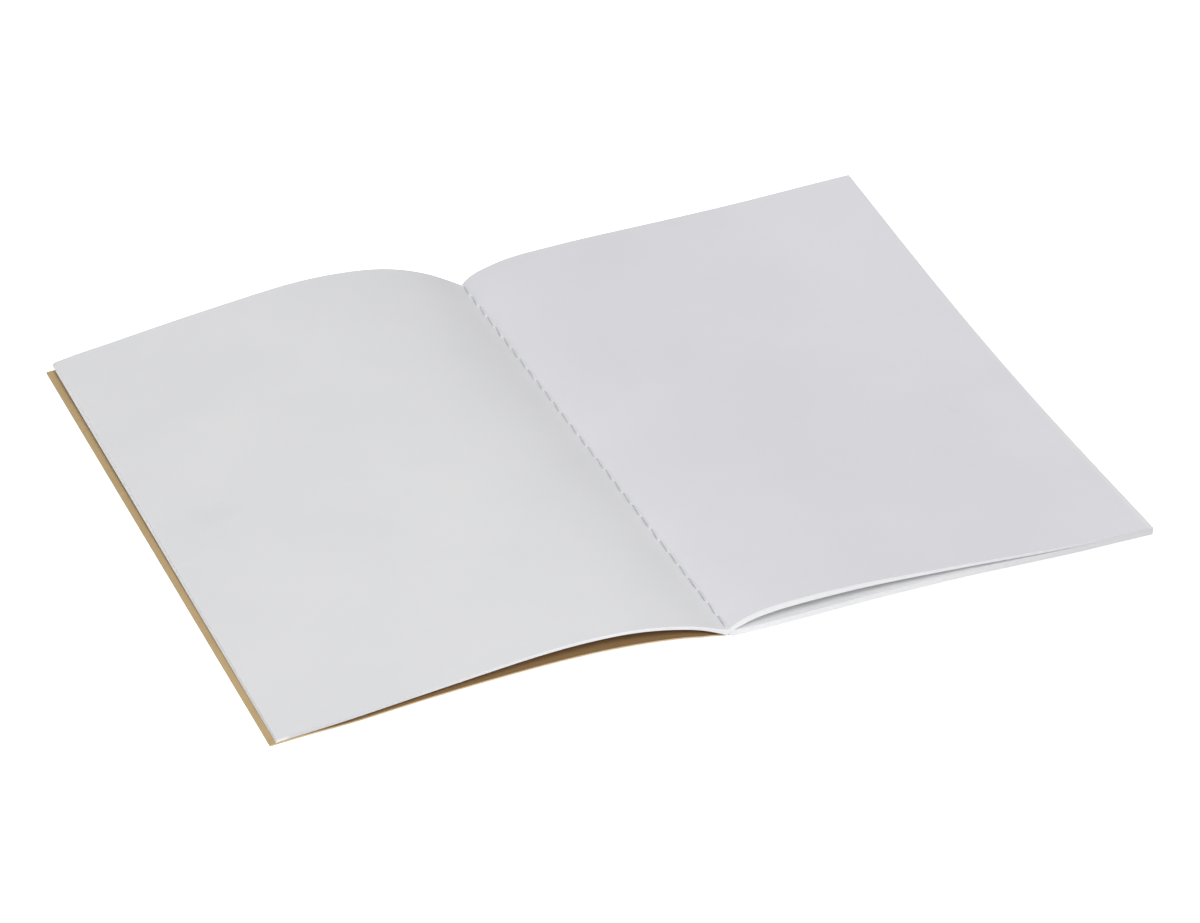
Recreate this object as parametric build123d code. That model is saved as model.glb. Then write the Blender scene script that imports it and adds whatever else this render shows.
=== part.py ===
"""A pocket notebook lying open: one folded card cover, a first sewn section open at its middle, and a second section closed under the right-hand leaves."""

import os

from build123d import *

os.makedirs("parts", exist_ok=True)

# Driving sizes, in mm. +Z is up, +Y runs along the fold away from the reader, X = 0 is the fold.
PAGE_W = 90.0  # one page, fold to fore-edge, pocket size
PAGE_H = 140.0  # head to foot
FRONT_W = 90.35  # how far the front cover reaches from the fold, at its near end
COVER_W = 89.9  # how far the back cover reaches from the fold
COVER_H = 140.2  # the front cover stands 0.1 mm proud at head and foot
PILE_END = 89.6  # fore-edge of the closed section
PAPER = 0.10  # about 80 g/m2 paper
PITCH = 0.104  # one leaf to the next in a pile, so neighbours never touch
CARD = 0.30  # cover card, about 250 g/m2
LEAVES = 6  # leaves on each side of the open section
PILE_SHEETS = 6  # folded sheets in the closed section, two leaves each
FOLD_HALF = 0.30  # the sewn fold takes this much on each side of X = 0
FOLD_TOP_NEAR = 2.08  # top of the sewn fold at its near end, where the sheets stand looser
FOLD_TOP_FAR = 1.60  # and at its far end
FOLD_LOW = 0.88  # underside of the sewn fold
THREAD_R = 0.13  # sewing thread radius
STITCH = 4.62  # stitch pitch
STITCHES = 30
STITCH_ON = 3.90  # length of thread that shows in each stitch
NEEDLE_R = 0.21  # needle hole radius
PILE_X = 1.10  # centre of the closed section's folds

# How much of the far profile each station along the fold takes. The right leaves stay low near the reader and curl up towards the far corner.
STATIONS = [-1.0, -0.5, 0.0, 0.5, 1.0]
SHARE_LEFT = [0.0, 0.25, 0.5, 0.75, 1.0]
SHARE_RIGHT = [0.0, 0.04, 0.20, 0.55, 1.0]

# Height of each surface over the table, by distance from the fold: (distance, near end, far end).
# The last figure for the leaves is how much lower the sixth leaf hangs than close sheets would, at the near end.
LEFT_TOP = [
    (0.30, 2.16, 1.66, 0.46),
    (1.0, 2.38, 2.15, 0.36),
    (2.6, 3.02, 3.10, 0.22),
    (4.8, 3.90, 4.45, 0.12),
    (9.5, 5.28, 6.80, 0.06),
    (18.0, 6.80, 9.45, 0.02),
    (27.5, 7.20, 10.45, 0.0),
    (36.5, 6.82, 10.40, 0.0),
    (47.5, 5.68, 9.20, 0.0),
    (58.5, 4.40, 7.70, 0.0),
    (69.5, 3.06, 6.05, 0.0),
    (80.0, 1.93, 4.40, 0.0),
    (89.0, 1.12, 2.88, 0.0),
]
RIGHT_TOP = [
    (0.30, 2.20, 1.86, 0.46),
    (1.0, 2.72, 2.60, 0.48),
    (2.2, 3.30, 3.45, 0.49),
    (4.8, 4.22, 4.45, 0.50),
    (8.8, 4.97, 5.55, 0.50),
    (16.0, 5.42, 6.35, 0.46),
    (27.0, 5.50, 6.92, 0.34),
    (38.0, 5.00, 7.20, 0.16),
    (48.0, 4.45, 7.45, 0.08),
    (60.0, 3.72, 7.85, 0.03),
    (70.0, 3.14, 8.35, 0.0),
    (80.0, 2.90, 8.95, 0.0),
    (89.7, 3.00, 9.45, 0.0),
]
COVER_UNDER = [
    (0.36, 0.02, 0.02, 0.0),
    (2.0, 0.65, 0.70, 0.0),
    (5.6, 1.84, 1.95, 0.0),
    (10.0, 2.62, 2.95, 0.0),
    (20.0, 3.58, 4.10, 0.0),
    (30.0, 3.86, 4.40, 0.0),
    (45.0, 3.34, 4.10, 0.0),
    (57.0, 2.58, 3.40, 0.0),
    (66.0, 1.76, 2.70, 0.0),
    (76.0, 0.84, 1.85, 0.0),
    (FRONT_W, 0.0, 0.60, 0.0),
]
# The back cover and the closed section are level for the first 6 mm, then rise. (distance, near end, far end)
BACK_UNDER = [
    (6.0, 0.0, 0.0),
    (10.0, 0.06, 0.06),
    (15.0, 0.24, 0.26),
    (27.0, 0.74, 0.82),
    (38.0, 0.98, 1.12),
    (48.0, 1.08, 1.16),
    (60.0, 0.86, 0.86),
    (75.0, 0.62, 0.34),
]
BACK_END = (0.70, 0.0)  # height of the back cover's fore-edge, near and far


def save(name, shape):
    shape.label = name
    export_step(shape, f"parts/{name}.step")


def bowed_sheet(profile, shares, side, thickness, lift, hang, reach, near, far):
    """A sheet whose underside runs through the profile, lowered by lift, and whose upper side is thickness above it.

    hang is the share that this sheet takes of the near end's extra drop, and reach is how much further the sheet goes
    out at its far end than at its near end, as a share of its width."""
    rows = []
    for station, share in zip(STATIONS, shares):
        along = (station + 1) / 2
        y = near + (far - near) * along
        row = []
        for x, z_near, z_far, droop in profile:
            z = z_near + (z_far - z_near) * share - lift - droop * hang * (1 - along)
            row.append((side * (x * (1 + reach * share) if x > 1 else x), y, z))
        rows.append(row)
    under = Face.make_surface_from_array_of_points(
        [[Vector(*p) for p in row] for row in rows], tol=0.004, min_deg=3, max_deg=5
    )
    return extrude(under, amount=thickness, dir=(0, 0, 1))


# The cover: one card, folded at the spine. Its foot is cut back a little either side of the spine.
NOTCH = extrude(Polygon((-6.5, -70.4), (6.5, -70.4), (0, -68.7), align=None), amount=4)
front = bowed_sheet(COVER_UNDER, SHARE_LEFT, -1, CARD, 0.0, 0.0, 0.0078, -COVER_H / 2, COVER_H / 2)
save("cover_front", front - NOTCH)
save(
    "cover_spine",
    Pos(0, 0, CARD / 2) * Box(2 * 0.35, PAGE_H - 0.8, CARD) - NOTCH,
)


def back_curve(end, height):
    """The back cover's line at one end (1 near, 2 far), at a height above its underside, from X = 6 outwards."""
    return [(row[0], row[end] + height) for row in BACK_UNDER]


def rise(end, height):
    """The line of the rise at a height, from X = 6 out to the closed section's fore-edge."""
    return Spline(*back_curve(end, height), (PILE_END, BACK_END[end - 1] + height), tangents=[(1, 0), (1, -0.01)])


def between(section, foot, head):
    """A solid whose near end is section(1) and whose far end is section(2)."""
    ends = []
    for end, y in ((1, foot), (2, head)):
        with BuildSketch(Plane((0, y, 0), x_dir=(1, 0, 0), z_dir=(0, -1, 0))) as outline:
            with BuildLine():
                section(end)
            make_face()
        ends.append(outline.sketch.face())
    return Solid.make_loft([face.outer_wire() for face in ends], ruled=True)


def back_card(end):
    """The back cover: level as far as X = 6, then up and down again, and straight over its last part."""
    low = BACK_END[end - 1]
    Line((0.36, 0), (6.0, 0))
    rise(end, 0)
    Line((PILE_END, low), (COVER_W, low))
    Line((COVER_W, low), (COVER_W, low + CARD))
    Line((COVER_W, low + CARD), (PILE_END, low + CARD))
    rise(end, CARD)
    Line((6.0, CARD), (0.36, CARD))
    Line((0.36, CARD), (0.36, 0))


save("cover_back", between(back_card, -PAGE_H / 2 + 0.6, PAGE_H / 2 - 0.2) - NOTCH)

# The open section: six leaves on each side of its sewn fold
for k in range(LEAVES):
    drop, hang = k * PITCH + PAPER, k / (LEAVES - 1)
    left = bowed_sheet(LEFT_TOP, SHARE_LEFT, -1, PAPER, drop, hang, 0.0035, -PAGE_H / 2, PAGE_H / 2)
    save(f"leaf_left_{k + 1}", left)
    right = bowed_sheet(RIGHT_TOP, SHARE_RIGHT, 1, PAPER, drop, hang, 0.0065, -PAGE_H / 2, PAGE_H / 2)
    save(f"leaf_right_{k + 1}", right)

# The sewn fold of the six sheets, with a needle hole at each end of each stitch
FOLD_END = PAGE_H / 2 - 0.1


def fold_top(y):
    return FOLD_TOP_NEAR + (FOLD_TOP_FAR - FOLD_TOP_NEAR) * (y + FOLD_END) / (2 * FOLD_END)


side_view = Polygon(
    (-FOLD_END, FOLD_LOW), (FOLD_END, FOLD_LOW), (FOLD_END, FOLD_TOP_FAR), (-FOLD_END, FOLD_TOP_NEAR), align=None
)
fold = extrude(Plane.YZ * side_view, amount=FOLD_HALF - 0.02, both=True)
first = -STITCHES * STITCH / 2 + (STITCH - STITCH_ON) / 2
ends = []
for i in range(STITCHES):
    y = first + i * STITCH
    ends += [y, y + STITCH_ON]
holes = [Pos(0, y, (FOLD_TOP_NEAR + FOLD_LOW) / 2) * Cylinder(NEEDLE_R, 1.8) for y in ends]


def thread(path, radius):
    """A round thread that turns with a sharp mitre at each point of its path."""
    line = Polyline(*path)
    start = Plane(origin=path[0], z_dir=Vector(*path[1]) - Vector(*path[0]))
    return sweep(start * Circle(radius), path=line, transition=Transition.RIGHT)


# The upper thread shows on top between the holes, and dips into them between one stitch and the next
upper = []
DIP = 0.22  # how far under the fold's top the thread crosses between stitches
RIDE = THREAD_R + 0.02  # how far over it the thread's middle lies in a stitch
slant = 0.06
for i in range(STITCHES):
    a, b = ends[2 * i], ends[2 * i + 1]
    upper += [
        (-slant, a, fold_top(a) - DIP),
        (-slant, a + 0.02, fold_top(a) + RIDE),
        (slant, b - 0.02, fold_top(b) + RIDE),
        (slant, b, fold_top(b) - DIP),
    ]
# each dip crosses to the next stitch inside the fold's upper paper, so the paper there gives way to it
crossings = []
for i in range(STITCHES - 1):
    y = (ends[2 * i + 1] + ends[2 * i + 2]) / 2
    crossings.append(Pos(0, y, fold_top(y) - 0.12) * Box(2 * NEEDLE_R, STITCH - STITCH_ON, 0.60))
save("sewn_fold", fold - holes - crossings)
save("stitch_thread_upper", thread(upper, THREAD_R))

# The lower thread runs under the fold, between it and the glue
lower_z = FOLD_LOW - 0.12
save("stitch_thread_lower", Pos(0, 0, lower_z) * Rot(90, 0, 0) * Cylinder(0.10, PAGE_H - 1.0))

# Glue holds the sewn folds to the inside of the spine
glue_top = lower_z - 0.11
save("spine_glue", Pos(0, 0, (CARD + glue_top) / 2) * Box(0.56, PAGE_H - 1.6, glue_top - CARD - 0.004))

# The closed section: sheets folded one inside the next, all over the back cover
pile_low = CARD + 0.006
pile_high = pile_low + 2 * PILE_SHEETS * PITCH


def folded_sheet(low, high):
    """The cross-section of one folded sheet, from its underside at low to its top at high."""
    mid, r = (low + high) / 2, (high - low) / 2

    def section(end):
        out = BACK_END[end - 1]
        Line((PILE_X, low), (6.0, low))
        rise(end, low)
        if r - PAPER > 0.01:
            Line((PILE_END, out + low), (PILE_END, out + low + PAPER))
            rise(end, low + PAPER)
            Line((6.0, low + PAPER), (PILE_X, low + PAPER))
            ThreePointArc((PILE_X, low + PAPER), (PILE_X - (r - PAPER), mid), (PILE_X, high - PAPER))
            Line((PILE_X, high - PAPER), (6.0, high - PAPER))
            rise(end, high - PAPER)
            Line((PILE_END, out + high - PAPER), (PILE_END, out + high))
        else:  # the innermost sheet's halves lie flat on each other
            Line((PILE_END, out + low), (PILE_END, out + high))
        rise(end, high)
        Line((6.0, high), (PILE_X, high))
        ThreePointArc((PILE_X, high), (PILE_X - r, mid), (PILE_X, low))

    return section


for j in range(PILE_SHEETS):
    shape = between(folded_sheet(pile_low + j * PITCH, pile_high - j * PITCH), -PAGE_H / 2 + 0.05, PAGE_H / 2 - 0.05)
    save(f"pile_sheet_{j + 1}", shape)

# The closed section's own sewing, seen only as a line of thread behind its folds
pile_r = (pile_high - pile_low) / 2
save(
    "pile_thread",
    Pos(PILE_X - pile_r - 0.07, 0, (pile_low + pile_high) / 2 - 0.05) * Rot(90, 0, 0) * Cylinder(0.06, PAGE_H - 1.4),
)
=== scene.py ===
# %% [markdown]
# # A pocket notebook, lying open
# The object is small and very plain: white paper, brown kraft card and one row of sewing. So the work is in
# its curves, in its thin edges and in quiet materials. Every curve is read from the CAD model, which is
# loaded as the frame, so the paper here lies just where the CAD leaves lie.

# %% Load the frame
import math

import bmesh
import bpy
import numpy as np
from mathutils import Matrix, Vector, noise
from mathutils.bvhtree import BVHTree


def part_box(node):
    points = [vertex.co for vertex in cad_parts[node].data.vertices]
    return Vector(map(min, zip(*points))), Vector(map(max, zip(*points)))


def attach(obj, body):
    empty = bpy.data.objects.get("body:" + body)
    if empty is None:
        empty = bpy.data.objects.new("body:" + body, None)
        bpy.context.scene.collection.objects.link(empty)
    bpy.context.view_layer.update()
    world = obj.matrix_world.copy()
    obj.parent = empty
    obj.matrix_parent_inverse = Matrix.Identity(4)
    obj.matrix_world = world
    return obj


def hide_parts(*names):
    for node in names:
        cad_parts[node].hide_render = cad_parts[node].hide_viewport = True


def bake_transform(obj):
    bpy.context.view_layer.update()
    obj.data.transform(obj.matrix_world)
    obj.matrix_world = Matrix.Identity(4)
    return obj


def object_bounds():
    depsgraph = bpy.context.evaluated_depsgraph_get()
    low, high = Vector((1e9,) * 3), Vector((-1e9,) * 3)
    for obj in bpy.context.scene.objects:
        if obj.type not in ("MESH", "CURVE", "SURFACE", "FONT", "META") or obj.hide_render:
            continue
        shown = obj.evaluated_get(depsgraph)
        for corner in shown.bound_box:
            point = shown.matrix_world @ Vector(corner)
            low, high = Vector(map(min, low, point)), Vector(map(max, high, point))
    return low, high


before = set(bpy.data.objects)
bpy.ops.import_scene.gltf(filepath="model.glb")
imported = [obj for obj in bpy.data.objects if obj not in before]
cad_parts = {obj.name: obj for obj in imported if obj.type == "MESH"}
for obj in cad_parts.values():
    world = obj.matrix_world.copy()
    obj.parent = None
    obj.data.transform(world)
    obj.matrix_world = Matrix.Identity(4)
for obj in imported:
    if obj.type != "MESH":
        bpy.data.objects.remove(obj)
cad_low, cad_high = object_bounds()
MM = 0.001
LEAVES = 6
print("CAD box in mm:", [round(v / MM, 2) for v in (*cad_low, *cad_high)])

# %% [markdown]
# ## Reading a curve from the CAD
# A leaf is a sheet that bows up from the fold and comes down to its fore-edge, and it bows more at one end
# than at the other. The CAD mesh holds that curve as loose triangles. A ray dropped from above finds its
# height at any place. A fine grid of such heights is a far better surface to light than the triangles
# themselves. Its facets are taken out by fitting a low polynomial along the fold, and by a small moving mean
# across it.

# %% Drop rays on a CAD node
def ray_tree(node):
    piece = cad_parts[node]
    points = [piece.matrix_world @ v.co for v in piece.data.vertices]
    return BVHTree.FromPolygons(points, [tuple(p.vertices) for p in piece.data.polygons])


def height(tree, x, y, from_above=True):
    start = Vector((x, y, 0.1 if from_above else -0.1))
    hit = tree.ray_cast(start, Vector((0, 0, -1 if from_above else 1)))
    return None if hit[0] is None else hit[0].z


def fore_edge(tree, y, inside, outside):
    """Where the sheet ends at y, found by halving the gap between a place on it and one off it."""
    for _ in range(18):
        middle = (inside + outside) / 2
        if height(tree, middle, y) is None:
            outside = middle
        else:
            inside = middle
    return inside


# %% Read a sheet as a grid
# where the notch at the cover's foot ends, and how fast it closes
NOTCH_TOP, NOTCH_SLOPE = -68.7 * MM, 0.2615
RAY_INSET = 0.004 * MM  # rays stay this far inside a sheet's outline, so that they don't miss it
NOTCH_INSET = 0.02 * MM  # and this far inside the notch


def foot_line(x, foot):
    """Where a card's foot lies at x: the cover is cut back a little on both sides of the spine."""
    return max(foot, NOTCH_TOP - NOTCH_SLOPE * abs(x))


def smoothed(grid, rounds, degree):
    """The grid without its facets: a low polynomial along the fold, and a small moving mean across it."""
    along = np.linspace(-1, 1, len(grid))
    grid = np.polynomial.polynomial.polyval(along, np.polynomial.polynomial.polyfit(along, grid, degree)).T
    for _ in range(rounds):
        inner = (grid[:, :-2] + 2 * grid[:, 1:-1] + grid[:, 2:]) / 4
        grid = np.hstack([grid[:, :1], inner, grid[:, -1:]])
    return grid


def read_sheet(node, stations, rows, rounds=3, degree=5, from_above=True, notched=False):
    """(x, y, z) grids of a CAD sheet's upper or lower side, rows along the fold, stations out from it."""
    low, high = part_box(node)
    side = 1 if low[0] + high[0] > 0 else -1
    root = low[0] if side > 0 else high[0]
    tip = high[0] if side > 0 else low[0]
    tree = ray_tree(node)
    x, y, z = (np.zeros((rows, len(stations))) for _ in range(3))
    for row in range(rows):
        share = row / (rows - 1)
        y_line = low[1] + (high[1] - low[1]) * share
        y_ray = min(max(y_line, low[1] + RAY_INSET), high[1] - RAY_INSET)
        end = fore_edge(tree, y_ray, root + 0.9 * (tip - root), tip + side * 0.5 * MM)
        for column, u in enumerate(stations):
            x_here = root + (end - root) * u
            x_ray = root + side * RAY_INSET + (end - root - 2 * side * RAY_INSET) * u
            cut = (foot_line(x_here, low[1]) - low[1]) * (1 - share) if notched else 0.0
            y_here = y_ray + cut + (NOTCH_INSET if cut > 0 and row == 0 else 0.0)
            found = height(tree, x_ray, y_here, from_above)
            x[row, column], y[row, column] = x_here, y_line + cut
            z[row, column] = np.nan if found is None else found
    holes = np.isnan(z)
    if holes.any():
        z[holes] = np.interp(np.flatnonzero(holes), np.flatnonzero(~holes), z[~holes])
    flat = smoothed(z, rounds, degree)
    print(node, "read, facets up to", round(np.abs(flat - z).max() / MM, 3), "mm, missed", int(holes.sum()))
    return x, y, flat


# the stations stand close together near the fold, where the paper bends most, and spread out evenly from it
STATIONS = [(t / 66) ** 1.6 for t in range(67)]
ROWS = 41
left_sheet = read_sheet("leaf_left_1", STATIONS, ROWS)
right_sheet = read_sheet("leaf_right_1", STATIONS, ROWS)
left_low = read_sheet(f"leaf_left_{LEAVES}", STATIONS, ROWS)
right_low = read_sheet(f"leaf_right_{LEAVES}", STATIONS, ROWS)
for side, sheet in (("left", left_sheet), ("right", right_sheet)):
    print(side, "page rises to", round(sheet[2].max() / MM, 2), "mm")

# %% [markdown]
# ## Shared surface effects
# Paper, card and thread are all made of fibres, so one node group makes fibres for all of them: it gives a
# mask of fine threads and a soft cloudy tone, and each material mixes them at its own size and strength. A
# second group makes one faint round mark, for the places where a page was touched.

# %% Node helpers
def add(tree, kind, place, **settings):
    node = tree.nodes.new(kind)
    node.location = place
    for name, value in settings.items():
        setattr(node, name, value)
    return node


def join(tree, start, end):
    tree.links.new(start, end)


def new_group(name, inputs, outputs):
    """An empty shader group with float inputs (name, default) and float or colour outputs."""
    group = bpy.data.node_groups.new(name, "ShaderNodeTree")
    for label, kind, default in inputs:
        socket = group.interface.new_socket(name=label, in_out="INPUT", socket_type=kind)
        socket.default_value = default
    for label, kind in outputs:
        group.interface.new_socket(name=label, in_out="OUTPUT", socket_type=kind)
    start = add(group, "NodeGroupInput", (-900, 0))
    end = add(group, "NodeGroupOutput", (900, 0))
    return group, start, end


def use_group(tree, group, place, **values):
    node = add(tree, "ShaderNodeGroup", place, node_tree=group)
    for name, value in values.items():
        node.inputs[name.replace("_", " ")].default_value = value
    return node


def number(tree, operation, a, b, place, clamp=False):
    node = add(tree, "ShaderNodeMath", place, operation=operation, use_clamp=clamp)
    for i, value in enumerate((a, b)):
        if isinstance(value, (int, float)):
            node.inputs[i].default_value = value
        elif value is not None:
            join(tree, value, node.inputs[i])
    return node.outputs[0]


# %% The fibre group
def make_fibres():
    """Fibres (0 to 1, mostly 0), Cloud (about 0.5) and Tooth (a fine height), sized in fibres per metre."""
    g, start, end = new_group(
        "Fibres",
        [
            ("Density", "NodeSocketFloat", 900.0),
            ("Cloud Size", "NodeSocketFloat", 60.0),
            ("Turn", "NodeSocketFloat", 0.0),
        ],
        [("Fibres", "NodeSocketFloat"), ("Cloud", "NodeSocketFloat"), ("Tooth", "NodeSocketFloat")],
    )
    at = add(g, "ShaderNodeTexCoord", (-900, -300))
    masks = []
    # three sets of long thin noise, each turned another way, make fibres that cross
    for i, angle in enumerate((0.35, 1.45, 2.5)):
        turn = add(g, "ShaderNodeVectorRotate", (-700, -250 * i), rotation_type="Z_AXIS")
        join(g, at.outputs["Object"], turn.inputs["Vector"])
        join(g, number(g, "ADD", start.outputs["Turn"], angle, (-880, -250 * i - 120)), turn.inputs["Angle"])
        stretch = add(g, "ShaderNodeVectorMath", (-520, -250 * i), operation="MULTIPLY")
        join(g, turn.outputs[0], stretch.inputs[0])
        stretch.inputs[1].default_value = (0.10, 1.0, 0.6)
        streak = add(g, "ShaderNodeTexNoise", (-340, -250 * i))
        streak.inputs["Detail"].default_value = 2.0
        streak.inputs["Distortion"].default_value = 1.4
        join(g, stretch.outputs[0], streak.inputs["Vector"])
        join(g, start.outputs["Density"], streak.inputs["Scale"])
        lift = add(g, "ShaderNodeMapRange", (-140, -250 * i), interpolation_type="SMOOTHSTEP")
        lift.inputs["From Min"].default_value = 0.60
        lift.inputs["From Max"].default_value = 0.74
        join(g, streak.outputs["Fac"], lift.inputs["Value"])
        masks.append(lift.outputs["Result"])
    both = number(g, "MAXIMUM", masks[0], masks[1], (60, -100))
    join(g, number(g, "MAXIMUM", both, masks[2], (240, -160)), end.inputs["Fibres"])
    cloud = add(g, "ShaderNodeTexNoise", (-340, 260))
    cloud.inputs["Detail"].default_value = 4.0
    cloud.inputs["Roughness"].default_value = 0.55
    join(g, at.outputs["Object"], cloud.inputs["Vector"])
    join(g, start.outputs["Cloud Size"], cloud.inputs["Scale"])
    join(g, cloud.outputs["Fac"], end.inputs["Cloud"])
    fine = add(g, "ShaderNodeTexNoise", (-340, 520))
    fine.inputs["Detail"].default_value = 3.0
    join(g, at.outputs["Object"], fine.inputs["Vector"])
    join(g, number(g, "MULTIPLY", start.outputs["Density"], 2.2, (-520, 520)), fine.inputs["Scale"])
    raised = number(g, "MULTIPLY", both, 0.4, (60, 300))
    join(g, number(g, "ADD", fine.outputs["Fac"], raised, (240, 400)), end.inputs["Tooth"])
    return g


FIBRES = make_fibres()


# %% The touch mark group
def make_mark():
    """Mark: 1 at the middle of a soft round stain of a given place and size, 0 away from it."""
    g, start, end = new_group(
        "Faint mark",
        [
            ("Place", "NodeSocketVector", (0, 0, 0)),
            ("Reach X", "NodeSocketFloat", 0.01),
            ("Reach Y", "NodeSocketFloat", 0.01),
            ("Break Up", "NodeSocketFloat", 0.5),
        ],
        [("Mark", "NodeSocketFloat")],
    )
    at = add(g, "ShaderNodeTexCoord", (-900, -300))
    away = add(g, "ShaderNodeVectorMath", (-700, 0), operation="SUBTRACT")
    join(g, at.outputs["Object"], away.inputs[0])
    join(g, start.outputs["Place"], away.inputs[1])
    parts = add(g, "ShaderNodeSeparateXYZ", (-520, 0))
    join(g, away.outputs[0], parts.inputs[0])
    across = number(g, "DIVIDE", parts.outputs["X"], start.outputs["Reach X"], (-340, 80))
    along = number(g, "DIVIDE", parts.outputs["Y"], start.outputs["Reach Y"], (-340, -80))
    across_squared = number(g, "MULTIPLY", across, across, (-160, 80))
    along_squared = number(g, "MULTIPLY", along, along, (-160, -80))
    squared = number(g, "ADD", across_squared, along_squared, (20, 0))
    ragged = add(g, "ShaderNodeTexNoise", (-340, -320))
    ragged.inputs["Scale"].default_value = 220.0
    ragged.inputs["Detail"].default_value = 3.0
    join(g, at.outputs["Object"], ragged.inputs["Vector"])
    rough = number(g, "MULTIPLY", ragged.outputs["Fac"], 1.6, (-160, -320))
    worn = number(g, "MULTIPLY", rough, start.outputs["Break Up"], (20, -320))
    far = number(g, "ADD", squared, worn, (200, -100))
    join(g, number(g, "SUBTRACT", 1.0, far, (380, 0), clamp=True), end.inputs["Mark"])
    return g


MARK = make_mark()
print("shared groups:", FIBRES.name, MARK.name)


# %% [markdown]
# ## Paper
# Uncoated writing paper is matt and nearly white, with a tooth that only shows when light grazes it. Its
# trimmed edge looks brighter than its face, because light soaks into the cut and comes back out; that
# brightness is a painted highlight in the cut's colour. So the paper has two materials that share the same
# fibres: one for the face and one for the cut. The right-hand page is painted a little cooler and darker
# than the left-hand one, as painted shade, and the cuts are painted greyer away from the fold, as painted
# shade.

# %% Paper materials
PAGE = (0.850, 0.852, 0.862, 1)
PAGE_CLOUD = (0.828, 0.831, 0.844, 1)
# painted shade: the right-hand page is the same paper, coloured cooler and darker
PAGE_PAINTED_SHADE = (0.826, 0.820, 0.858, 1)
PAGE_PAINTED_SHADE_CLOUD = (0.806, 0.801, 0.838, 1)
PAGE_MARK = (0.73, 0.755, 0.79, 1)


def principled(name):
    material = bpy.data.materials.new(name)
    material.use_nodes = True
    shader = material.node_tree.nodes["Principled BSDF"]
    return material, material.node_tree, shader


def mix_colour(tree, share, a, b, place):
    node = add(tree, "ShaderNodeMix", place, data_type="RGBA")
    if isinstance(share, (int, float)):
        node.inputs["Factor"].default_value = share
    else:
        join(tree, share, node.inputs["Factor"])
    colour_in = [s for s in node.inputs if s.type == "RGBA"]
    for socket, value in zip(colour_in, (a, b)):
        if isinstance(value, tuple):
            socket.default_value = value
        else:
            join(tree, value, socket)
    return [s for s in node.outputs if s.type == "RGBA"][0]


# painted highlight: the cut is coloured brighter than the face, for light that soaks into the cut
CUT_BRIGHT = (0.93, 0.93, 0.945, 1)
CUT_CLOUD = (0.88, 0.88, 0.90, 1)
CUT_PAINTED_SHADE = (0.69, 0.69, 0.715, 1)
FANNED_AT = -86.4 * MM
# how far out from the fold the painted shade on a cut edge starts, and is full
CUT_SHADE_FROM, CUT_SHADE_TO = 22 * MM, 84 * MM


def make_paper(name, face, cloud, marks=(), fibre_show=0.10, bump=0.06, cut_shade=None):
    material, tree, shader = principled(name)
    fibres = use_group(tree, FIBRES, (-900, 0), Density=2600.0, Cloud_Size=38.0)
    tone = add(tree, "ShaderNodeMapRange", (-700, 160))
    tone.inputs["From Min"].default_value = 0.35
    tone.inputs["From Max"].default_value = 0.65
    join(tree, fibres.outputs["Cloud"], tone.inputs["Value"])
    colour = mix_colour(tree, tone.outputs["Result"], face, cloud, (-500, 160))
    darker = tuple(0.93 * c for c in cloud[:3]) + (1,)
    threads = number(tree, "MULTIPLY", fibres.outputs["Fibres"], fibre_show, (-500, 0))
    colour = mix_colour(tree, threads, colour, darker, (-300, 160))
    for i, (place, reach_x, reach_y, strength, tint) in enumerate(marks):
        spot = use_group(tree, MARK, (-700, -300 - 220 * i), Place=place, Reach_X=reach_x, Reach_Y=reach_y)
        share = number(tree, "MULTIPLY", spot.outputs["Mark"], strength, (-500, -300 - 220 * i))
        colour = mix_colour(tree, share, colour, tint, (-160 + 60 * i, 160))
    # painted shade: the cut edges are painted greyer with distance from the fold
    if cut_shade:
        at = add(tree, "ShaderNodeTexCoord", (-900, 420))
        split = add(tree, "ShaderNodeSeparateXYZ", (-720, 420))
        join(tree, at.outputs["Object"], split.inputs[0])
        grey = add(tree, "ShaderNodeMapRange", (-360, 420), interpolation_type="SMOOTHSTEP")
        grey.inputs["From Min"].default_value = CUT_SHADE_FROM
        grey.inputs["From Max"].default_value = CUT_SHADE_TO
        join(tree, number(tree, "ABSOLUTE", split.outputs["X"], None, (-540, 420)), grey.inputs["Value"])
        # the left fore-edges are fanned, so they catch the light and get no painted shade
        fanned = add(tree, "ShaderNodeMapRange", (-360, 640))
        fanned.inputs["From Min"].default_value = FANNED_AT - 0.8 * MM
        fanned.inputs["From Max"].default_value = FANNED_AT
        join(tree, split.outputs["X"], fanned.inputs["Value"])
        share = number(tree, "MULTIPLY", grey.outputs["Result"], fanned.outputs["Result"], (-200, 420))
        colour = mix_colour(tree, share, colour, cut_shade, (-40, 260))
    join(tree, colour, shader.inputs["Base Color"])
    shader.inputs["Roughness"].default_value = 0.92
    shader.inputs["Specular IOR Level"].default_value = 0.22
    tooth = add(tree, "ShaderNodeBump", (-200, -300))
    tooth.inputs["Strength"].default_value = bump
    tooth.inputs["Distance"].default_value = 0.02 * MM
    join(tree, fibres.outputs["Tooth"], tooth.inputs["Height"])
    join(tree, tooth.outputs["Normal"], shader.inputs["Normal"])
    return material


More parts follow.
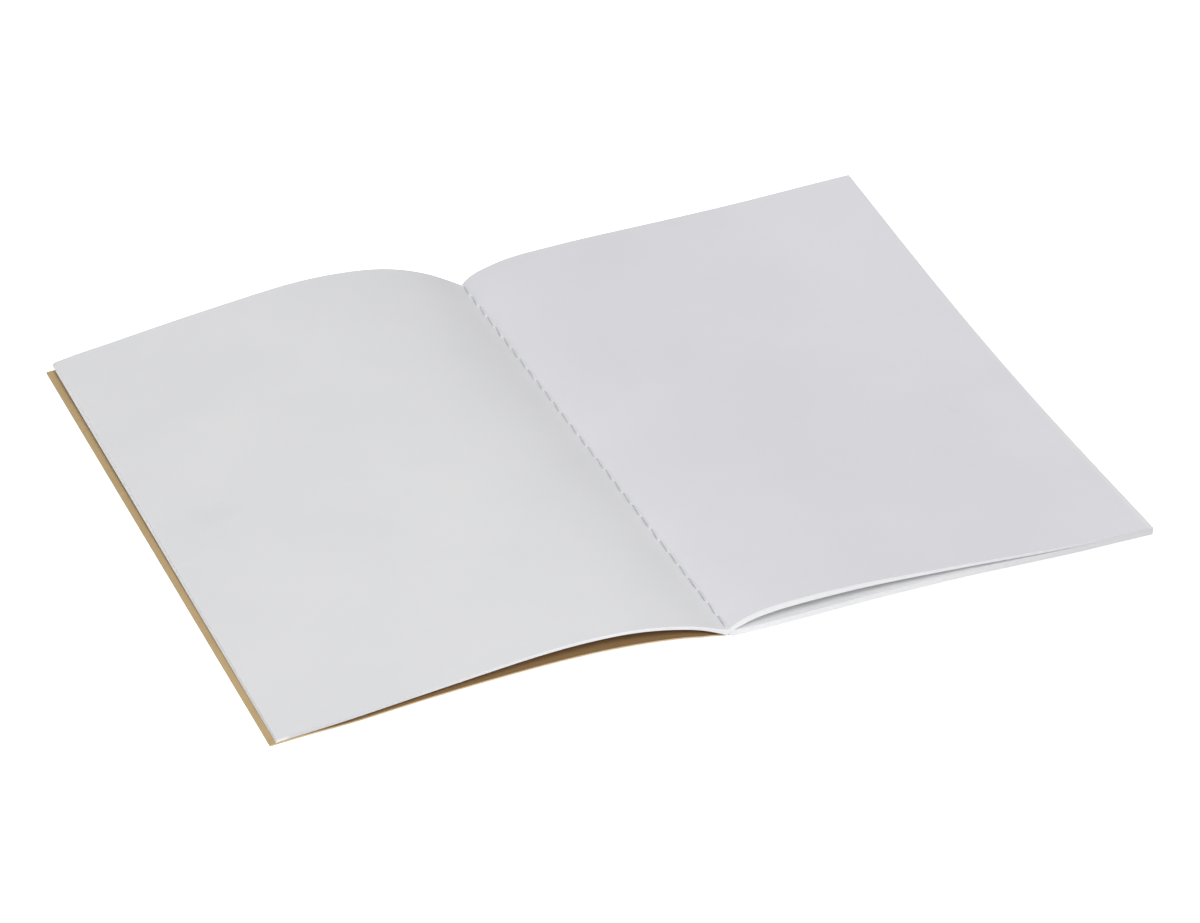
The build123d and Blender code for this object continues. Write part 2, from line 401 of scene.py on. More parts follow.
SMUDGE = ((-0.077, 0.002, 0.0), 0.009, 0.005, 0.30, PAGE_MARK)
SMUDGE_2 = ((-0.083, -0.001, 0.0), 0.010, 0.012, 0.26, PAGE_MARK)
SPECK = ((0.0726, -0.0181, 0.0), 0.0016, 0.0024, 0.45, PAGE_MARK)
LEFT_PAPER = make_paper("Left page paper", PAGE, PAGE_CLOUD, [SMUDGE, SMUDGE_2])
RIGHT_PAPER = make_paper("Right page paper", PAGE_PAINTED_SHADE, PAGE_PAINTED_SHADE_CLOUD, [SPECK])
PAPER = make_paper("Writing paper", PAGE, PAGE_CLOUD)
CUT_PAPER = make_paper("Cut paper edge", CUT_BRIGHT, CUT_CLOUD, fibre_show=0.3, bump=0.25, cut_shade=CUT_PAINTED_SHADE)
print("paper materials:", [m.name for m in (LEFT_PAPER, RIGHT_PAPER, PAPER, CUT_PAPER)])

# %% [markdown]
# ## Kraft card
# Kraft board keeps the colour of unbleached pulp. Close up it's a felt of pale and dark fibres with a few
# dark specks of bark, and its cut edge is a little lighter and rougher than its face. The fibre group is
# used twice, at two sizes, once for pale threads and once for dark ones. The face on the inside carries
# painted shade, darker under the pages, but for a strip along its edge.

# %% Kraft materials
KRAFT = (0.600, 0.440, 0.232, 1)
KRAFT_DARK = (0.510, 0.362, 0.180, 1)
KRAFT_PALE = (0.700, 0.548, 0.340, 1)


KRAFT_PAINTED_SHADE = (0.265, 0.150, 0.062, 1)  # painted shade on the inner face of the cover, where it lies under the pages
INNER_SHADE_FULL_TO, INNER_SHADE_ENDS_AT = 76 * MM, 86 * MM


def make_kraft(name, body, dark, pale, bump, inner_shade=None):
    material, tree, shader = principled(name)
    long_fibres = use_group(tree, FIBRES, (-1100, 200), Density=1500.0, Cloud_Size=70.0)
    short_fibres = use_group(tree, FIBRES, (-1100, -150), Density=3000.0, Cloud_Size=260.0, Turn=0.8)
    tone = add(tree, "ShaderNodeMapRange", (-900, 300))
    tone.inputs["From Min"].default_value = 0.36
    tone.inputs["From Max"].default_value = 0.66
    join(tree, long_fibres.outputs["Cloud"], tone.inputs["Value"])
    clouded = number(tree, "MULTIPLY", tone.outputs["Result"], 0.45, (-720, 300))
    pale_threads = number(tree, "MULTIPLY", long_fibres.outputs["Fibres"], 0.30, (-540, 100))
    dark_threads = number(tree, "MULTIPLY", short_fibres.outputs["Fibres"], 0.28, (-540, -60))
    colour = mix_colour(tree, clouded, body, dark, (-540, 300))
    colour = mix_colour(tree, pale_threads, colour, pale, (-360, 300))
    colour = mix_colour(tree, dark_threads, colour, dark, (-180, 300))
    specks = add(tree, "ShaderNodeTexVoronoi", (-900, -420), feature="F1")
    specks.inputs["Scale"].default_value = 420.0
    at = add(tree, "ShaderNodeTexCoord", (-1100, -420))
    join(tree, at.outputs["Object"], specks.inputs["Vector"])
    bark = add(tree, "ShaderNodeMapRange", (-720, -420), interpolation_type="SMOOTHSTEP")
    bark.inputs["From Min"].default_value = 0.085
    bark.inputs["From Max"].default_value = 0.045
    join(tree, specks.outputs["Distance"], bark.inputs["Value"])
    barky = number(tree, "MULTIPLY", bark.outputs["Result"], 0.55, (-540, -420))
    colour = mix_colour(tree, barky, colour, tuple(0.55 * c for c in dark[:3]) + (1,), (0, 300))
    # painted shade: the inner face is darkened inward of a strip along its edge
    if inner_shade:
        split = add(tree, "ShaderNodeSeparateXYZ", (-900, 560))
        join(tree, at.outputs["Object"], split.inputs[0])
        inner = add(tree, "ShaderNodeMapRange", (-540, 560), interpolation_type="SMOOTHSTEP")
        inner.inputs["From Min"].default_value = INNER_SHADE_ENDS_AT
        inner.inputs["From Max"].default_value = INNER_SHADE_FULL_TO
        inner.inputs["To Max"].default_value = 0.88
        join(tree, number(tree, "ABSOLUTE", split.outputs["X"], None, (-720, 560)), inner.inputs["Value"])
        colour = mix_colour(tree, inner.outputs["Result"], colour, inner_shade, (160, 300))
    join(tree, colour, shader.inputs["Base Color"])
    rough = add(tree, "ShaderNodeMapRange", (-200, 60))
    rough.inputs["To Min"].default_value = 0.72
    rough.inputs["To Max"].default_value = 0.90
    join(tree, short_fibres.outputs["Cloud"], rough.inputs["Value"])
    join(tree, rough.outputs["Result"], shader.inputs["Roughness"])
    shader.inputs["Specular IOR Level"].default_value = 0.3
    felt = add(tree, "ShaderNodeBump", (-200, -300))
    felt.inputs["Strength"].default_value = bump
    felt.inputs["Distance"].default_value = 0.04 * MM
    nap = number(tree, "ADD", long_fibres.outputs["Fibres"], short_fibres.outputs["Tooth"], (-360, -300))
    join(tree, nap, felt.inputs["Height"])
    join(tree, felt.outputs["Normal"], shader.inputs["Normal"])
    return material


KRAFT_CARD = make_kraft("Kraft card", KRAFT, KRAFT_DARK, KRAFT_PALE, 0.35)
CUT_KRAFT = make_kraft("Cut kraft edge", KRAFT_PALE, KRAFT, (0.78, 0.64, 0.45, 1), 0.7)
INNER_KRAFT_PAINTED_SHADE = make_kraft("Inner kraft card, painted shade", KRAFT, KRAFT_DARK, KRAFT_PALE, 0.35, KRAFT_PAINTED_SHADE)
print("card materials:", [m.name for m in (KRAFT_CARD, CUT_KRAFT, INNER_KRAFT_PAINTED_SHADE)])


# %% [markdown]
# ## Thread and glue
# Sewing thread is two plies twisted together. The twist is real geometry, made below, so this material only
# adds the fine hairs, a soft sheen and a grey partly darker than the pale thread itself, as painted shade
# for the crease it lies in. The glue is a dull, slightly yellow film that hides inside the spine.

# %% Thread and glue materials
def make_thread():
    material, tree, shader = principled("Sewing thread")
    hairs = use_group(tree, FIBRES, (-900, 0), Density=5200.0, Cloud_Size=900.0, Turn=1.2)
    # partly painted shade: the thread is coloured darker than it is, for the crease it lies in
    colour = mix_colour(
        tree, hairs.outputs["Cloud"], (0.50, 0.505, 0.54, 1), (0.67, 0.675, 0.71, 1), (-500, 160)
    )
    pale_hairs = number(tree, "MULTIPLY", hairs.outputs["Fibres"], 0.5, (-500, 0))
    colour = mix_colour(tree, pale_hairs, colour, (0.80, 0.80, 0.82, 1), (-300, 160))
    join(tree, colour, shader.inputs["Base Color"])
    shader.inputs["Roughness"].default_value = 0.65
    shader.inputs["Sheen Weight"].default_value = 0.25
    fuzz = add(tree, "ShaderNodeBump", (-200, -300))
    fuzz.inputs["Strength"].default_value = 0.5
    fuzz.inputs["Distance"].default_value = 0.02 * MM
    join(tree, hairs.outputs["Tooth"], fuzz.inputs["Height"])
    join(tree, fuzz.outputs["Normal"], shader.inputs["Normal"])
    return material


def make_glue():
    material, tree, shader = principled("Dried glue")
    film = use_group(tree, FIBRES, (-900, 0), Density=300.0, Cloud_Size=240.0)
    colour = mix_colour(
        tree, film.outputs["Cloud"], (0.80, 0.77, 0.66, 1), (0.70, 0.66, 0.52, 1), (-500, 160)
    )
    join(tree, colour, shader.inputs["Base Color"])
    shader.inputs["Roughness"].default_value = 0.45
    ripple = add(tree, "ShaderNodeBump", (-200, -300))
    ripple.inputs["Strength"].default_value = 0.4
    ripple.inputs["Distance"].default_value = 0.05 * MM
    join(tree, film.outputs["Cloud"], ripple.inputs["Height"])
    join(tree, ripple.outputs["Normal"], shader.inputs["Normal"])
    return material


THREAD = make_thread()
GLUE = make_glue()
print("other materials:", THREAD.name, GLUE.name)


# %% [markdown]
# ## Turning a grid into a sheet
# A sheet of paper or card is a closed shell: an upper side, a lower side a sheet's thickness below, and four
# thin cut sides. The cut sides carry the second material, so that edges read bright as they do on real paper.

# %% A closed sheet
def closed_shell(name, outer, inner, face_material, cut_material):
    """A closed sheet between two grids of points. Its cut sides use the second material slot."""
    rows, columns, _ = outer.shape
    count = rows * columns
    faces, slots = [], []

    def quad(a, b, c, d, slot):
        faces.append((a, b, c, d))
        slots.append(slot)

    for r in range(rows - 1):
        for c in range(columns - 1):
            a = r * columns + c
            quad(a, a + 1, a + columns + 1, a + columns, 0)
            quad(a + columns + count, a + columns + 1 + count, a + 1 + count, a + count, 0)
    for c in range(columns - 1):
        quad(c + count, c + 1 + count, c + 1, c, 1)
        a = (rows - 1) * columns + c
        quad(a, a + 1, a + 1 + count, a + count, 1)
    for r in range(rows - 1):
        a = r * columns
        quad(a, a + columns, a + columns + count, a + count, 1)
        b = a + columns - 1
        quad(b + count, b + columns + count, b + columns, b, 1)
    mesh = bpy.data.meshes.new(name)
    mesh.from_pydata(np.vstack([outer.reshape(-1, 3), inner.reshape(-1, 3)]).tolist(), [], faces)
    mesh.materials.append(face_material)
    mesh.materials.append(cut_material)
    mesh.polygons.foreach_set("material_index", slots)
    mesh.polygons.foreach_set("use_smooth", [slot == 0 for slot in slots])
    turned = bmesh.new()
    turned.from_mesh(mesh)
    if turned.calc_volume(signed=True) < 0:
        bmesh.ops.reverse_faces(turned, faces=turned.faces)
    for edge in turned.edges:
        edge.smooth = not any(face.material_index for face in edge.link_faces)
    turned.to_mesh(mesh)
    turned.free()
    piece = bpy.data.objects.new(name, mesh)
    bpy.context.scene.collection.objects.link(piece)
    return piece


def sheet_shell(name, x, y, upper, lower, face_material, cut_material):
    """A closed sheet between two height grids over the same places."""
    outer, inner = np.stack([x, y, upper], -1), np.stack([x, y, lower], -1)
    return closed_shell(name, outer, inner, face_material, cut_material)


# %% [markdown]
# ## The leaves
# Six leaves lie on each side of the sewn fold. The first and the sixth are read from the CAD, and the others
# lie evenly between them, so they fan apart a little at the foot of the fold. The stack also leans at its
# fore-edges, and each leaf's cut edges stand a few hundredths of a millimetre in or out. The paper has a
# slight wave. All the leaves of a side share that wave. Neighbouring left leaves still overlap by up
# to 0.02 mm, deepest at the head of the fore-edge.

# %% Make the twelve leaves
PAPER_SHOWN = 0.088 * MM
PAPER_PITCH = (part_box("pile_sheet_1")[1][2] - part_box("pile_sheet_2")[1][2])
WAVES, WAVE_HEIGHT = 26, 0.05 * MM
BURR = 0.85  # a loose sheet is drawn thicker by this share of the room under it
FAN_BACK_NEAR, FAN_BACK_FAR = 0.0140, 0.0050  # how much shorter the first right leaf is than the sixth
FOOT_SKEW = 0.0035  # how much further out the lowest sheets lie at the foot than at the head
FLARE = 0.0020  # how much further out the sixth left leaf lies all along its fore-edge
# how much further the sixth left leaf goes out at the head than the first, as a share of its width
FAN_OUT = 0.0048


def paper_wave(x, y):
    """A slow unevenness between -1 and 1, about two waves to the page."""
    out = np.zeros_like(x)
    for index in np.ndindex(x.shape):
        out[index] = noise.noise(Vector((x[index] * WAVES, y[index] * WAVES, 0.7)))
    return out


def leaf_height(side, number_):
    """A leaf's upper side and how loosely it lies over the next, taken between the first and sixth leaf."""
    top, low = (left_sheet[2], left_low[2]) if side == "left" else (right_sheet[2], right_low[2])
    step = (top - low) / (LEAVES - 1)
    return top - (number_ - 1) * step, np.clip(step - PAPER_PITCH, 0, None)


def lay_leaf(side, number_, sheet, face_material):
    x, y, _ = (g.copy() for g in sheet)
    z, loose = leaf_height(side, number_)
    sign = -1 if side == "left" else 1
    rng = np.random.default_rng(40 + number_ + (10 if side == "left" else 0))
    out = np.linspace(0, 1, x.shape[1]) ** 2
    away = np.abs(x) / np.abs(x).max()
    z = z + WAVE_HEIGHT * paper_wave(x, y) * away
    along = np.linspace(0, 1, x.shape[0])[:, None]
    depth = (number_ - 1) / (LEAVES - 1)
    if side == "left":
        x = x * (1 + FAN_OUT * along * (depth - 0.45) + FLARE * depth)
    else:
        fan_back = (FAN_BACK_NEAR + (FAN_BACK_FAR - FAN_BACK_NEAR) * along) * (1 - depth)
        x = x * (1 - fan_back + FOOT_SKEW * (1 - along) ** 3 * depth)
    x = x + sign * rng.uniform(-0.05, 0.01) * MM * out
    y = y + rng.uniform(-0.03, 0.03) * MM
    # where the sheets stand loose each is drawn thicker, so that its cut edge looks burred
    under = z - PAPER_SHOWN - BURR * loose
    piece = sheet_shell(f"Leaf_{side}_{number_}", x, y, z, under, face_material, CUT_PAPER)
    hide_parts(f"leaf_{side}_{number_}")
    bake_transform(piece)
    return piece


leaves = []
for n in range(1, LEAVES + 1):
    leaves.append(lay_leaf("left", n, left_sheet, LEFT_PAPER if n == 1 else PAPER))
    leaves.append(lay_leaf("right", n, right_sheet, RIGHT_PAPER if n == 1 else PAPER))
print("leaves made:", len(leaves), "with", len(leaves[0].data.polygons), "faces each")

# %% [markdown]
# ## The cover
# The cover is one piece of card with a fold down its middle. Its front half bows up off the table like the
# pages over it. The card's own grid is read from above and from below, so the thickness is the CAD's. The
# edges are softened by a very small bevel, as a guillotine leaves them.

# %% Make the cover
CARD_STATIONS = [(t / 52) ** 1.5 for t in range(53)]
CARD_CALM = 20 * MM


def plain_mesh(piece):
    """The piece with its modifiers made real."""
    graph = bpy.context.evaluated_depsgraph_get()
    made = bpy.data.meshes.new_from_object(
        piece.evaluated_get(graph), preserve_all_data_layers=True, depsgraph=graph
    )
    piece.modifiers.clear()
    piece.data = made
    return piece


def soften(piece, width):
    bevel = piece.modifiers.new("Softened cut", "BEVEL")
    bevel.width = width
    bevel.segments = 2
    bevel.limit_method = "ANGLE"
    bevel.angle_limit = math.radians(50)
    bevel.material = -1
    return plain_mesh(piece)


def lay_card(name, node, stations, rows, rounds, degree):
    x, y, upper = read_sheet(node, stations, rows, rounds, degree, notched=True)
    lower = read_sheet(node, stations, rows, rounds, degree, from_above=False, notched=True)[2]
    # the card is uneven too, but not at its fold or its fore-edge
    off_fold = np.clip(np.abs(x) / CARD_CALM, 0, 1)
    off_edge = np.clip((np.abs(x).max() - np.abs(x)) / CARD_CALM, 0, 1)
    wave = 0.03 * MM * paper_wave(x * 0.7, y * 0.7) * off_fold * off_edge
    piece = sheet_shell(name, x, y, upper + wave, lower + wave, KRAFT_CARD, CUT_KRAFT)
    piece.data.materials.append(INNER_KRAFT_PAINTED_SHADE)
    # the upward faces take the inner material, with its painted shade
    for face in piece.data.polygons:
        if face.material_index == 0 and face.normal.z > 0:
            face.material_index = 2
    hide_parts(node)
    return soften(piece, 0.04 * MM)


front_cover = lay_card("Front_cover", "cover_front", CARD_STATIONS, 41, 3, 4)
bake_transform(front_cover)
back_cover = lay_card("Back_cover", "cover_back", CARD_STATIONS, 31, 1, 1)
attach(back_cover, "book_block")
spine = lay_card("Cover_spine", "cover_spine", [t / 6 for t in range(7)], 31, 0, 1)
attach(spine, "book_block")
print("cover pieces:", front_cover.name, back_cover.name, spine.name)


# %% [markdown]
# ## The closed section
# Under the right-hand leaves lies a second section that isn't open: sheets folded one inside the next. A
# folded sheet is one strip of paper that runs in from the fore-edge, round the fold and out again, so its
# cross-section is drawn as a path and given a thickness on the inner side. The heights come from the two ends
# of the outermost CAD sheet, and each inner sheet lies one sheet further in.

# %% Make the closed section
PILE_SHEETS = 6


def pile_path(tree, sheet, inward, wander, y):
    """Points of a folded sheet's outer side at y, or of its inner side if inward is a paper thickness."""
    low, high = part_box("pile_sheet_1")
    flat_low, flat_high = height(tree, 4 * MM, y, False), height(tree, 4 * MM, y)
    radius = (flat_high - flat_low) / 2
    centre_x, centre_z = low[0] + radius, (flat_low + flat_high) / 2
    inset = sheet * PAPER_PITCH + inward
    end = high[0] - 0.01 * MM
    run = [centre_x + (end - centre_x) * t / 46 for t in range(46, 0, -1)]
    stretch = (end + wander - centre_x) / (end - centre_x)
    points = [(centre_x + (x - centre_x) * stretch, height(tree, x, y, False) + inset) for x in run]
    for step in range(13):
        angle = math.radians(-90 - 180 * step / 12)
        points.append((
            centre_x + (radius - inset) * math.cos(angle),
            centre_z + (radius - inset) * math.sin(angle),
        ))
    points += [(centre_x + (x - centre_x) * stretch, height(tree, x, y) - inset) for x in reversed(run)]
    return np.array([(px, y, pz) for px, pz in points])


pile_tree = ray_tree("pile_sheet_1")
pile_rng = np.random.default_rng(7)
for n in range(PILE_SHEETS):
    node = f"pile_sheet_{n + 1}"
    (_, foot, _), (_, head, _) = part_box(node)
    wander = pile_rng.uniform(-0.07, 0.0) * MM
    shift = np.array([0, pile_rng.uniform(-0.03, 0.03) * MM, 0])
    sides = []
    for inward in (0.0, PAPER_SHOWN):
        near = pile_path(pile_tree, n, inward, wander + FOOT_SKEW * 90 * MM, foot + 0.01 * MM)
        far = pile_path(pile_tree, n, inward, wander, head - 0.01 * MM)
        # the CAD's section runs straight from its near end to its far end
        sides.append(np.array([near + (far - near) * t / 14 + shift for t in range(15)]))
    piece = closed_shell(f"Closed_section_sheet_{n + 1}", *sides, PAPER, CUT_PAPER)
    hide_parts(node)
    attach(piece, "book_block")
print("closed section sheets:", PILE_SHEETS)

# %% [markdown]
# ## The sewn fold
# Where the sheets are folded and sewn, the paper dips into a narrow valley, and each needle hole pulls it
# down a little further. The strips here join the left leaves to the right ones. Only the top strip is seen,
# so only that one has the dimples.

# %% Make the sewn fold
STITCHES = 30
HOLE_GAP = 3.90 * MM  # between the two needle holes of a stitch
STITCH_LENGTH = 4.36 * MM  # what shows of it on top, because the thread lies over the rims of its holes
thread_low, thread_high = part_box("stitch_thread_upper")
stitch_pitch = (thread_high[1] - thread_low[1] - HOLE_GAP) / (STITCHES - 1)
first_stitch = thread_low[1] + HOLE_GAP / 2
holes = [
    first_stitch + stitch_pitch * i + end * STITCH_LENGTH / 2
    for i in range(STITCHES)
    for end in (-1, 1)
]
VALLEY = 0.10 * MM
DIMPLE, DIMPLE_REACH = 0.13 * MM, 0.26 * MM


def fold_strip(number_, rows, columns):
    left_z, loose = (g[:, 0] for g in leaf_height("left", number_ + 1))
    right_z = leaf_height("right", number_ + 1)[0][:, 0]
    left_x, left_y = left_sheet[0][:, 0], left_sheet[1][:, 0]
    y = np.linspace(left_y[0], left_y[-1], rows)
    from_left, to_right, slack = (np.interp(y, left_y, g) for g in (left_z, right_z, loose))
    across = np.linspace(0, 1, columns)
    x = np.tile(left_x[0] + (right_sheet[0][0, 0] - left_x[0]) * across, (rows, 1))
    z = from_left[:, None] * (1 - across) + to_right[:, None] * across
    z = z - VALLEY * np.sin(np.pi * across)
    if number_ == 0:
        near_hole = np.abs(y[:, None] - np.array(holes)[None, :]).min(axis=1)
        pull = np.exp(-((near_hole / DIMPLE_REACH) ** 2))[:, None]
        z = z - DIMPLE * pull * np.sin(np.pi * across) ** 2
    under = z - PAPER_SHOWN - BURR * slack[:, None]
    return sheet_shell("Fold strip", x, np.tile(y[:, None], (1, columns)), z, under, PAPER, CUT_PAPER)


def joined(name, pieces):
    """One object that holds the meshes of several, which all have the same material slots."""
    whole = bmesh.new()
    for piece in pieces:
        whole.from_mesh(piece.data)
    mesh = pieces[0].data.copy()
    mesh.name = name
    whole.to_mesh(mesh)
    whole.free()
    for piece in pieces:
        bpy.data.objects.remove(piece)
    made = bpy.data.objects.new(name, mesh)
    bpy.context.scene.collection.objects.link(made)
    return made


fold = joined("Sewn_fold", [fold_strip(n, 701 if n == 0 else 41, 9) for n in range(LEAVES)])
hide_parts("sewn_fold")
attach(fold, "book_block")
print("needle holes:", len(holes), "stitch pitch", round(stitch_pitch / MM, 2), "mm")

# %% [markdown]
# ## The stitches
# A sewing machine leaves a row of short straight stitches, and each lies at a small slant, because the twist
# of the thread turns it. This is what Geometry Nodes are for: one stitch is drawn as two plies wound round
# each other, its ends are pulled down into the needle holes, and it is set out along the fold with a little
# chance in its slant. The sizes are named inputs, so the same tree could sew another book.

# %% The stitch tree
def make_stitch_tree():
    tree = bpy.data.node_groups.new("Row of stitches", "GeometryNodeTree")
    face = tree.interface
    face.new_socket(name="Geometry", in_out="INPUT", socket_type="NodeSocketGeometry")
    inputs = [
        ("Count", "NodeSocketInt", STITCHES),
        ("Pitch", "NodeSocketFloat", stitch_pitch),
        ("Length", "NodeSocketFloat", STITCH_LENGTH),
        ("Ply Radius", "NodeSocketFloat", 0.094 * MM),
        ("Twists", "NodeSocketFloat", 4.5),
        ("Dip", "NodeSocketFloat", 0.40 * MM),
        ("Slant", "NodeSocketFloat", math.radians(-4.6)),
        ("Chance", "NodeSocketFloat", math.radians(2.4)),
        ("Seed", "NodeSocketInt", 11),
    ]
    for label, kind, value in inputs:
        face.new_socket(name=label, in_out="INPUT", socket_type=kind).default_value = value
    face.new_socket(name="Material", in_out="INPUT", socket_type="NodeSocketMaterial")
    face.new_socket(name="Geometry", in_out="OUTPUT", socket_type="NodeSocketGeometry")
    start = add(tree, "NodeGroupInput", (-1400, 0))
    end = add(tree, "NodeGroupOutput", (1400, 0))
    size = start.outputs

    # one ply is a coil, as long as the stitch, whose radius is the ply's own
    coil = add(tree, "GeometryNodeCurveSpiral", (-1100, 300))
    coil.inputs["Resolution"].default_value = 11
    join(tree, size["Twists"], coil.inputs["Rotations"])
    join(tree, size["Ply Radius"], coil.inputs["Start Radius"])
    join(tree, size["Ply Radius"], coil.inputs["End Radius"])
    join(tree, size["Length"], coil.inputs["Height"])
    other = add(tree, "GeometryNodeTransform", (-900, 120))
    other.inputs["Rotation"].default_value = (0, 0, math.pi)
    join(tree, coil.outputs["Curve"], other.inputs["Geometry"])
    plies = add(tree, "GeometryNodeJoinGeometry", (-700, 250))
    join(tree, coil.outputs["Curve"], plies.inputs[0])
    join(tree, other.outputs["Geometry"], plies.inputs[0])
    section = add(tree, "GeometryNodeCurvePrimitiveCircle", (-900, -80), mode="RADIUS")
    section.inputs["Resolution"].default_value = 6
    join(tree, number(tree, "MULTIPLY", size["Ply Radius"], 1.12, (-1100, -80)), section.inputs["Radius"])
    strand = add(tree, "GeometryNodeCurveToMesh", (-500, 200))
    strand.inputs["Fill Caps"].default_value = True
    join(tree, plies.outputs[0], strand.inputs["Curve"])
    join(tree, section.outputs["Curve"], strand.inputs["Profile Curve"])

    # lay it along Y, with its middle at the origin
    lay = add(tree, "GeometryNodeTransform", (-300, 200))
    lay.inputs["Rotation"].default_value = (-math.pi / 2, 0, 0)
    half = number(tree, "MULTIPLY", size["Length"], -0.5, (-500, -60))
    shift = add(tree, "ShaderNodeCombineXYZ", (-400, -160))
    join(tree, half, shift.inputs["Y"])
    join(tree, shift.outputs[0], lay.inputs["Translation"])
    join(tree, strand.outputs["Mesh"], lay.inputs["Geometry"])

    # the ends dip into the needle holes
    here = add(tree, "GeometryNodeInputPosition", (-300, -260))
    parts = add(tree, "ShaderNodeSeparateXYZ", (-140, -260))
    join(tree, here.outputs[0], parts.inputs[0])
    from_middle = number(tree, "ABSOLUTE", parts.outputs["Y"], None, (20, -260))
    half_length = number(tree, "MULTIPLY", size["Length"], 0.5, (-140, -420))
    share = number(tree, "DIVIDE", from_middle, half_length, (180, -300))
    bent = number(tree, "POWER", share, 7.0, (340, -300))
    depth = number(
        tree, "MULTIPLY", bent, number(tree, "MULTIPLY", size["Dip"], -1.0, (180, -460)), (500, -300)
    )
    drop = add(tree, "ShaderNodeCombineXYZ", (660, -260))
    join(tree, depth, drop.inputs["Z"])
    pulled = add(tree, "GeometryNodeSetPosition", (300, 200))
    join(tree, lay.outputs["Geometry"], pulled.inputs["Geometry"])
    join(tree, drop.outputs[0], pulled.inputs["Offset"])

    # set the stitches out along the fold
    line = add(tree, "GeometryNodeMeshLine", (300, 500))
    join(tree, size["Count"], line.inputs["Count"])
    step = add(tree, "ShaderNodeCombineXYZ", (100, 420))
    join(tree, size["Pitch"], step.inputs["Y"])
    join(tree, step.outputs[0], line.inputs["Offset"])
    sway = add(tree, "FunctionNodeRandomValue", (300, -60), data_type="FLOAT")
    floats_in = [s for s in sway.inputs if s.type == "VALUE"]
    join(tree, number(tree, "SUBTRACT", size["Slant"], size["Chance"], (100, 0)), floats_in[0])
    join(tree, number(tree, "ADD", size["Slant"], size["Chance"], (100, -140)), floats_in[1])
    join(tree, size["Seed"], sway.inputs["Seed"])
    turn = add(tree, "ShaderNodeCombineXYZ", (500, -60))
    join(tree, [s for s in sway.outputs if s.type == "VALUE"][0], turn.inputs["Z"])
    out = add(tree, "GeometryNodeInstanceOnPoints", (700, 300))
    join(tree, line.outputs["Mesh"], out.inputs["Points"])
    join(tree, pulled.outputs["Geometry"], out.inputs["Instance"])
    join(tree, turn.outputs[0], out.inputs["Rotation"])
    real = add(tree, "GeometryNodeRealizeInstances", (900, 300))
    join(tree, out.outputs["Instances"], real.inputs["Geometry"])
    smooth = add(tree, "GeometryNodeSetShadeSmooth", (1040, 300))
    join(tree, real.outputs["Geometry"], smooth.inputs["Geometry"])
    finish = add(tree, "GeometryNodeSetMaterial", (1200, 300))
    join(tree, smooth.outputs["Geometry"], finish.inputs["Geometry"])
    join(tree, size["Material"], finish.inputs["Material"])
    join(tree, finish.outputs["Geometry"], end.inputs["Geometry"])
    return tree


STITCH_TREE = make_stitch_tree()


# %% Sew the fold
STITCH_RISE = 0.02 * MM  # the middle of the thread over the rims of the valley it lies in


def sew():
    holder = bpy.data.objects.new("Fold_stitches", bpy.data.meshes.new("Fold_stitches"))
    bpy.context.scene.collection.objects.link(holder)
    modifier = holder.modifiers.new("Stitches", "NODES")
    modifier.node_group = STITCH_TREE
    names = {
        item.name: item.identifier
        for item in STITCH_TREE.interface.items_tree
        if item.in_out == "INPUT"
    }
    modifier[names["Material"]] = THREAD
    modifier[names["Seed"]] = 11
    sewn = plain_mesh(holder)
    sewn.data.transform(Matrix.Translation((0, first_stitch, 0)))
    # the row follows the fold, which stands a little higher at its foot than at its head
    fold_y, fold_z = left_sheet[1][:, 0], (left_sheet[2][:, 0] + right_sheet[2][:, 0]) / 2
    for vertex in sewn.data.vertices:
        vertex.co.z += np.interp(vertex.co.y, fold_y, fold_z) + STITCH_RISE
    return sewn


stitches = sew()
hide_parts("stitch_thread_upper")
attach(stitches, "book_block")
print("stitches:", STITCHES, "faces:", len(stitches.data.polygons))

# %% [markdown]
# ## Pieces that stay as the CAD made them
# The lower thread, the second section's thread and the glue are hidden inside the spine. The CAD's own meshes
# are right for them, and they only need their materials.

# %% Finish the hidden pieces
def finish_node(node, material):
    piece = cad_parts[node]
    piece.data.materials.clear()
    piece.data.materials.append(material)


finish_node("stitch_thread_lower", THREAD)
finish_node("pile_thread", THREAD)
finish_node("spine_glue", GLUE)
print("hidden pieces finished")

# %% [markdown]
# ## Table, light and camera
# The notebook lies on a pale table that fades into the white background. The light is broad and soft. Most of
# it comes from the reader's side and a little from the left, halfway up, so the cut edges of the paper are
# the brightest part, helped by their painted highlight, and the gap under the left-hand leaves stays dark,
# helped by the painted shade on the inner kraft.

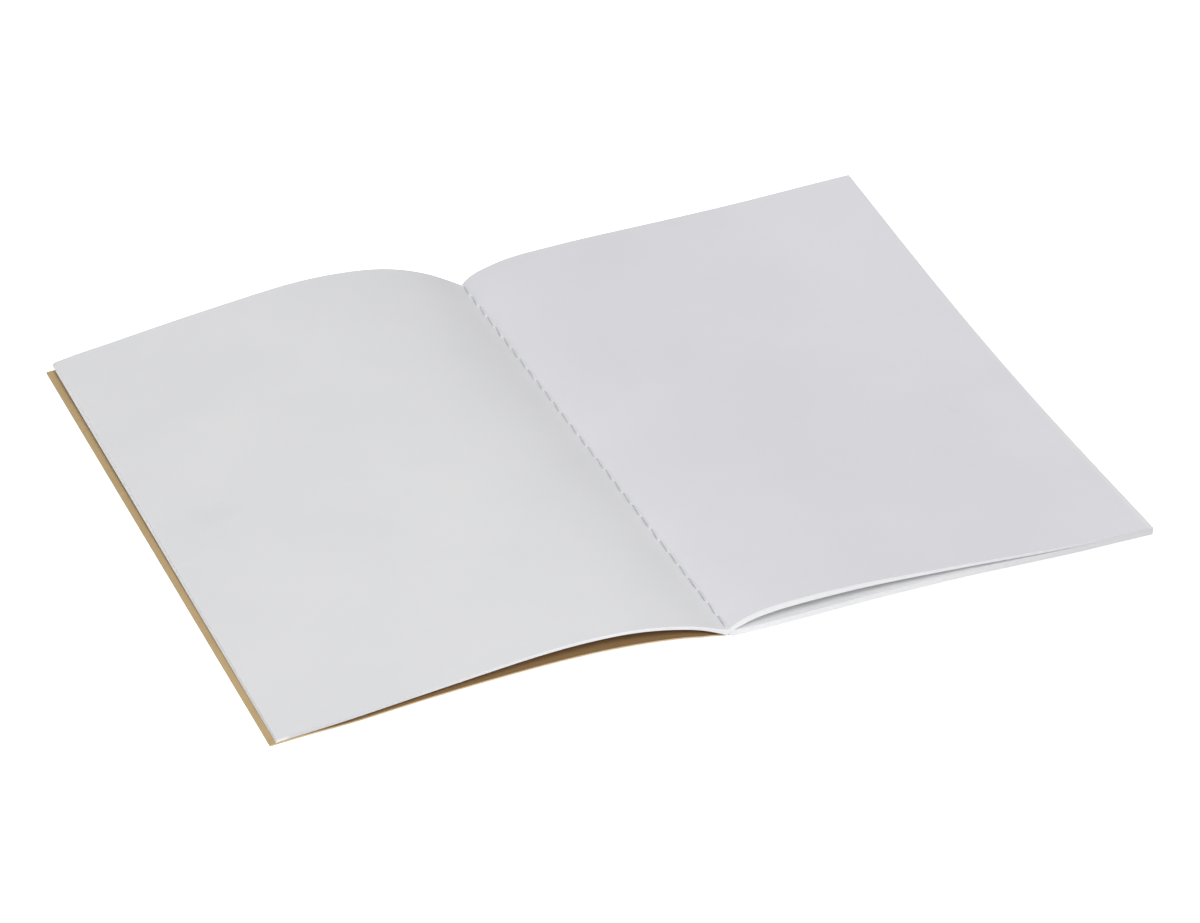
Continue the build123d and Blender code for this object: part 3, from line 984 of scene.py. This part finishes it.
# %% The table
def make_table():
    material, tree, shader = principled("Pale table")
    shade = add(tree, "ShaderNodeTexNoise", (-500, 0))
    shade.inputs["Scale"].default_value = 3.0
    colour = mix_colour(tree, shade.outputs["Fac"], (0.93, 0.93, 0.93, 1), (0.91, 0.91, 0.91, 1), (-300, 0))
    join(tree, colour, shader.inputs["Base Color"])
    shader.inputs["Roughness"].default_value = 0.9
    # it glows to the eye alone, so that it fades into the white without lighting the book from below
    rays = add(tree, "ShaderNodeLightPath", (-500, -300))
    shader.inputs["Emission Color"].default_value = (1, 1, 1, 1)
    glow = number(tree, "MULTIPLY", rays.outputs["Is Camera Ray"], 0.9, (-300, -300))
    join(tree, glow, shader.inputs["Emission Strength"])
    bpy.ops.mesh.primitive_plane_add(size=8.0, location=(0, 0, cad_low[2] - 0.02 * MM))
    table = bpy.context.object
    table.name = "Table"
    table.data.materials.append(material)
    return table


table = make_table()


# %% The light
def soft_box(name, place, aim, width, watts):
    light = bpy.data.lights.new(name, "AREA")
    light.shape = "DISK"
    light.size = width
    light.energy = watts
    lamp = bpy.data.objects.new(name, light)
    lamp.location = place
    lamp.rotation_euler = (Vector(aim) - Vector(place)).to_track_quat("-Z", "Y").to_euler()
    bpy.context.scene.collection.objects.link(lamp)
    return lamp


soft_box("Reader side", (-0.45, -1.9, 2.0), (0, 0, 0), 1.7, 56.0)
soft_box("Overhead", (0.1, 0.5, 1.4), (0, 0, 0), 1.2, 1.4)
world = bpy.data.worlds.new("Soft room")
world.use_nodes = True
world.node_tree.nodes["Background"].inputs["Color"].default_value = (1, 1, 1, 1)
world.node_tree.nodes["Background"].inputs["Strength"].default_value = 0.30
bpy.context.scene.world = world
bpy.context.scene.view_settings.view_transform = "Standard"
print("two soft boxes and a white room")


# %% The camera
def place_camera(azimuth, elevation, distance, target, lens):
    a, e = math.radians(azimuth), math.radians(elevation)
    back = Vector((math.sin(a) * math.cos(e), -math.cos(a) * math.cos(e), math.sin(e)))
    camera = bpy.data.objects.new("Camera", bpy.data.cameras.new("Camera"))
    camera.data.lens = lens
    camera.data.clip_start = 0.01
    camera.location = Vector(target) + back * distance
    camera.rotation_euler = back.to_track_quat("Z", "Y").to_euler()
    bpy.context.scene.collection.objects.link(camera)
    bpy.context.scene.camera = camera
    return camera


place_camera(-22.3, 32.3, 0.895, (0.0015, -0.0034, 0.0), 135.0)
print("camera set")
